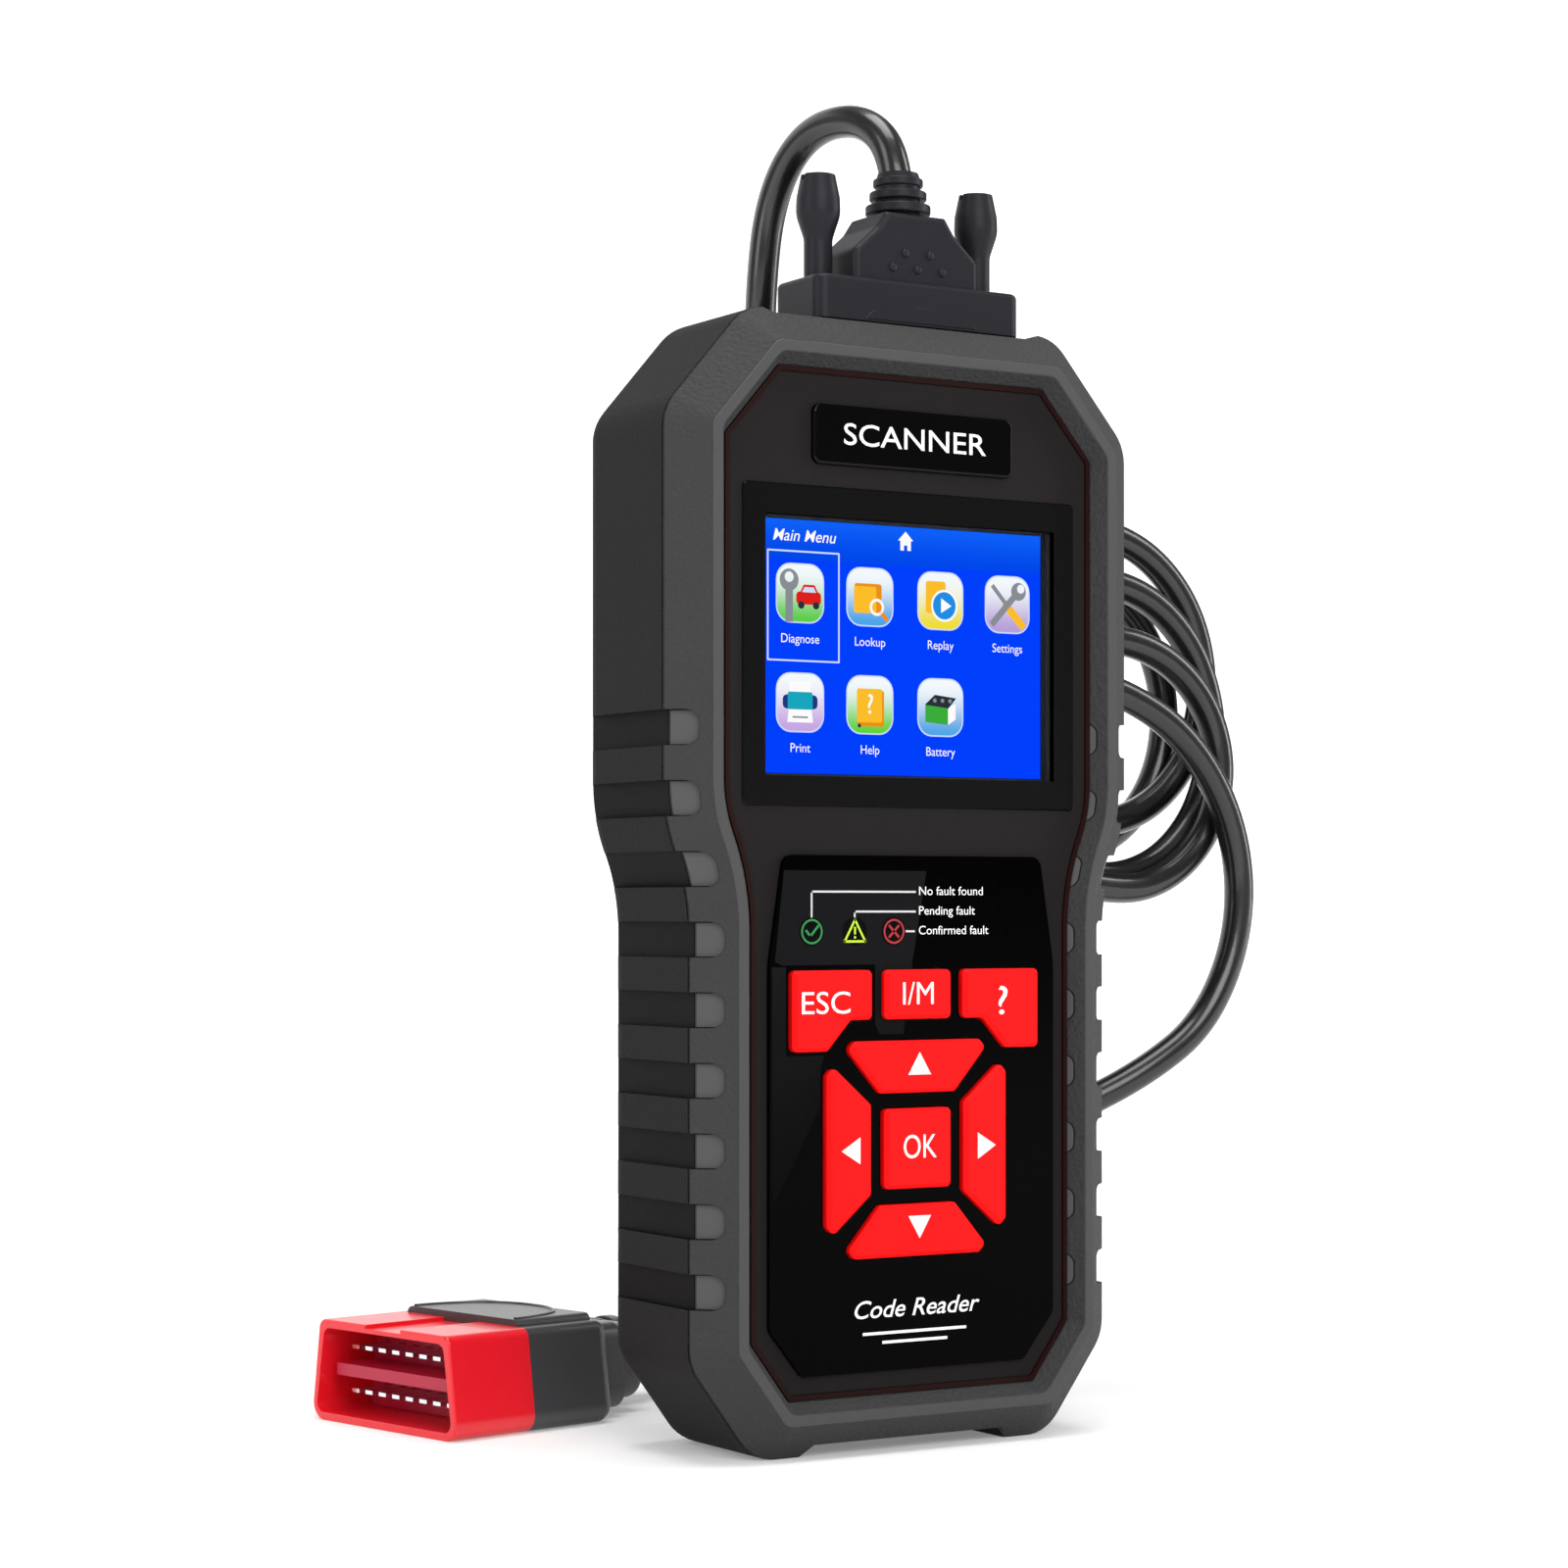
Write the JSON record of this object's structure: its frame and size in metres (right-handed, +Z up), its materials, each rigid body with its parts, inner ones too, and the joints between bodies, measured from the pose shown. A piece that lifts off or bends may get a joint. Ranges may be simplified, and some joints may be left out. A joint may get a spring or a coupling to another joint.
{
  "type": "obd code reader",
  "caption": "Hand-held vehicle code reader with a colour screen, a rubber keypad and a detachable coiled cable that ends in a diagnostic plug.",
  "frame": {"origin": "bottom centre of the case's box, on the surface that its feet stand on", "axes": "+Z up along the case's length, -Y out of the screen, +X to the right as the screen is read"},
  "size_m": [0.1832, 0.0986, 0.2375],
  "materials": {
    "case_black": "fine moulded grain",
    "frame_grey": "coarser moulded grain",
    "trim_red": "satin",
    "panel_black": "matte",
    "gloss_black": "gloss",
    "window_clear": "clear gloss",
    "foam_black": "matte",
    "plain_steel": "satin",
    "screen_blue": "lit display",
    "light_white": "satin",
    "flex_amber": "film",
    "key_red": "satin silicone",
    "silicone_grey": "satin silicone",
    "board_green": "solder mask",
    "chip_black": "moulded",
    "lens_green": "clear tinted",
    "lens_amber": "clear tinted",
    "lens_red": "clear tinted",
    "label_silver": "satin film",
    "plug_black": "satin moulded",
    "contact_gold": "plated",
    "insulator_black": "moulded",
    "cord_black": "satin PVC",
    "tie_black": "hook and loop",
    "obd_red": "semi-gloss",
    "contact_silver": "plated"
  },
  "bodies": {
    "case": {"rear_shell": "case_black", "front_frame": "frame_grey", "trim_ring": "trim_red", "face_panel": "panel_black", "name_badge": "gloss_black", "case_screws": "plain_steel", "board_screws": "plain_steel", "board_posts": "case_black", "rear_label": "label_silver", "display_window": "window_clear", "display_gasket": "foam_black", "lcd_frame": "plain_steel", "lcd_panel": "screen_blue", "lcd_backlight": "light_white", "lcd_flex": "flex_amber", "keypad_overlay": "gloss_black", "indicator_green": "lens_green", "indicator_amber": "lens_amber", "indicator_red": "lens_red", "keypad_mat": "silicone_grey", "dome_switches": "plain_steel", "main_board": "board_green", "board_chips": "chip_black", "indicator_leds": "light_white", "buzzer": "chip_black", "usb_socket": "plain_steel", "device_port_shell": "plain_steel", "device_port_insulator": "insulator_black", "device_port_pins": "contact_gold", "port_standoffs": "plain_steel", "plug_hood": "plug_black", "plug_shell": "plain_steel", "plug_insulator": "insulator_black", "plug_contacts": "contact_gold", "plug_strain_relief": "plug_black", "cord_top_run": "cord_black", "cord_coil": "cord_black", "cord_lead": "cord_black", "coil_tie": "tie_black", "obd_strain_relief": "plug_black", "obd_hood": "plug_black", "obd_shell": "obd_red", "obd_pin_block": "obd_red", "obd_pins": "contact_silver"},
    "esc_key": {"key_esc": "key_red"},
    "mode_key": {"key_im": "key_red"},
    "help_key": {"key_help": "key_red"},
    "up_key": {"key_up": "key_red"},
    "left_key": {"key_left": "key_red"},
    "ok_key": {"key_ok": "key_red"},
    "right_key": {"key_right": "key_red"},
    "down_key": {"key_down": "key_red"},
    "left_thumbscrew": {"thumbscrew_left": "plug_black"},
    "right_thumbscrew": {"thumbscrew_right": "plug_black"}
  },
  "joints": [
    {"name": "esc_key_press", "type": "slide", "parent": "case", "child": "esc_key", "axis": [0, 1, 0], "range_m": [0, 0.0009], "stiffness_N_per_m": 1200},
    {"name": "mode_key_press", "type": "slide", "parent": "case", "child": "mode_key", "axis": [0, 1, 0], "range_m": [0, 0.0009], "stiffness_N_per_m": 1200},
    {"name": "help_key_press", "type": "slide", "parent": "case", "child": "help_key", "axis": [0, 1, 0], "range_m": [0, 0.0009], "stiffness_N_per_m": 1200},
    {"name": "up_key_press", "type": "slide", "parent": "case", "child": "up_key", "axis": [0, 1, 0], "range_m": [0, 0.0009], "stiffness_N_per_m": 1200},
    {"name": "left_key_press", "type": "slide", "parent": "case", "child": "left_key", "axis": [0, 1, 0], "range_m": [0, 0.0009], "stiffness_N_per_m": 1200},
    {"name": "ok_key_press", "type": "slide", "parent": "case", "child": "ok_key", "axis": [0, 1, 0], "range_m": [0, 0.0009], "stiffness_N_per_m": 1200},
    {"name": "right_key_press", "type": "slide", "parent": "case", "child": "right_key", "axis": [0, 1, 0], "range_m": [0, 0.0009], "stiffness_N_per_m": 1200},
    {"name": "down_key_press", "type": "slide", "parent": "case", "child": "down_key", "axis": [0, 1, 0], "range_m": [0, 0.0009], "stiffness_N_per_m": 1200},
    {"name": "left_thumbscrew_turn", "type": "hinge", "parent": "case", "child": "left_thumbscrew", "pos_m": [-0.01265, -0.0038, 0.21], "axis": [0, 0, 1], "continuous": true},
    {"name": "right_thumbscrew_turn", "type": "hinge", "parent": "case", "child": "right_thumbscrew", "pos_m": [0.02065, -0.0038, 0.21], "axis": [0, 0, 1], "continuous": true}
  ]
}
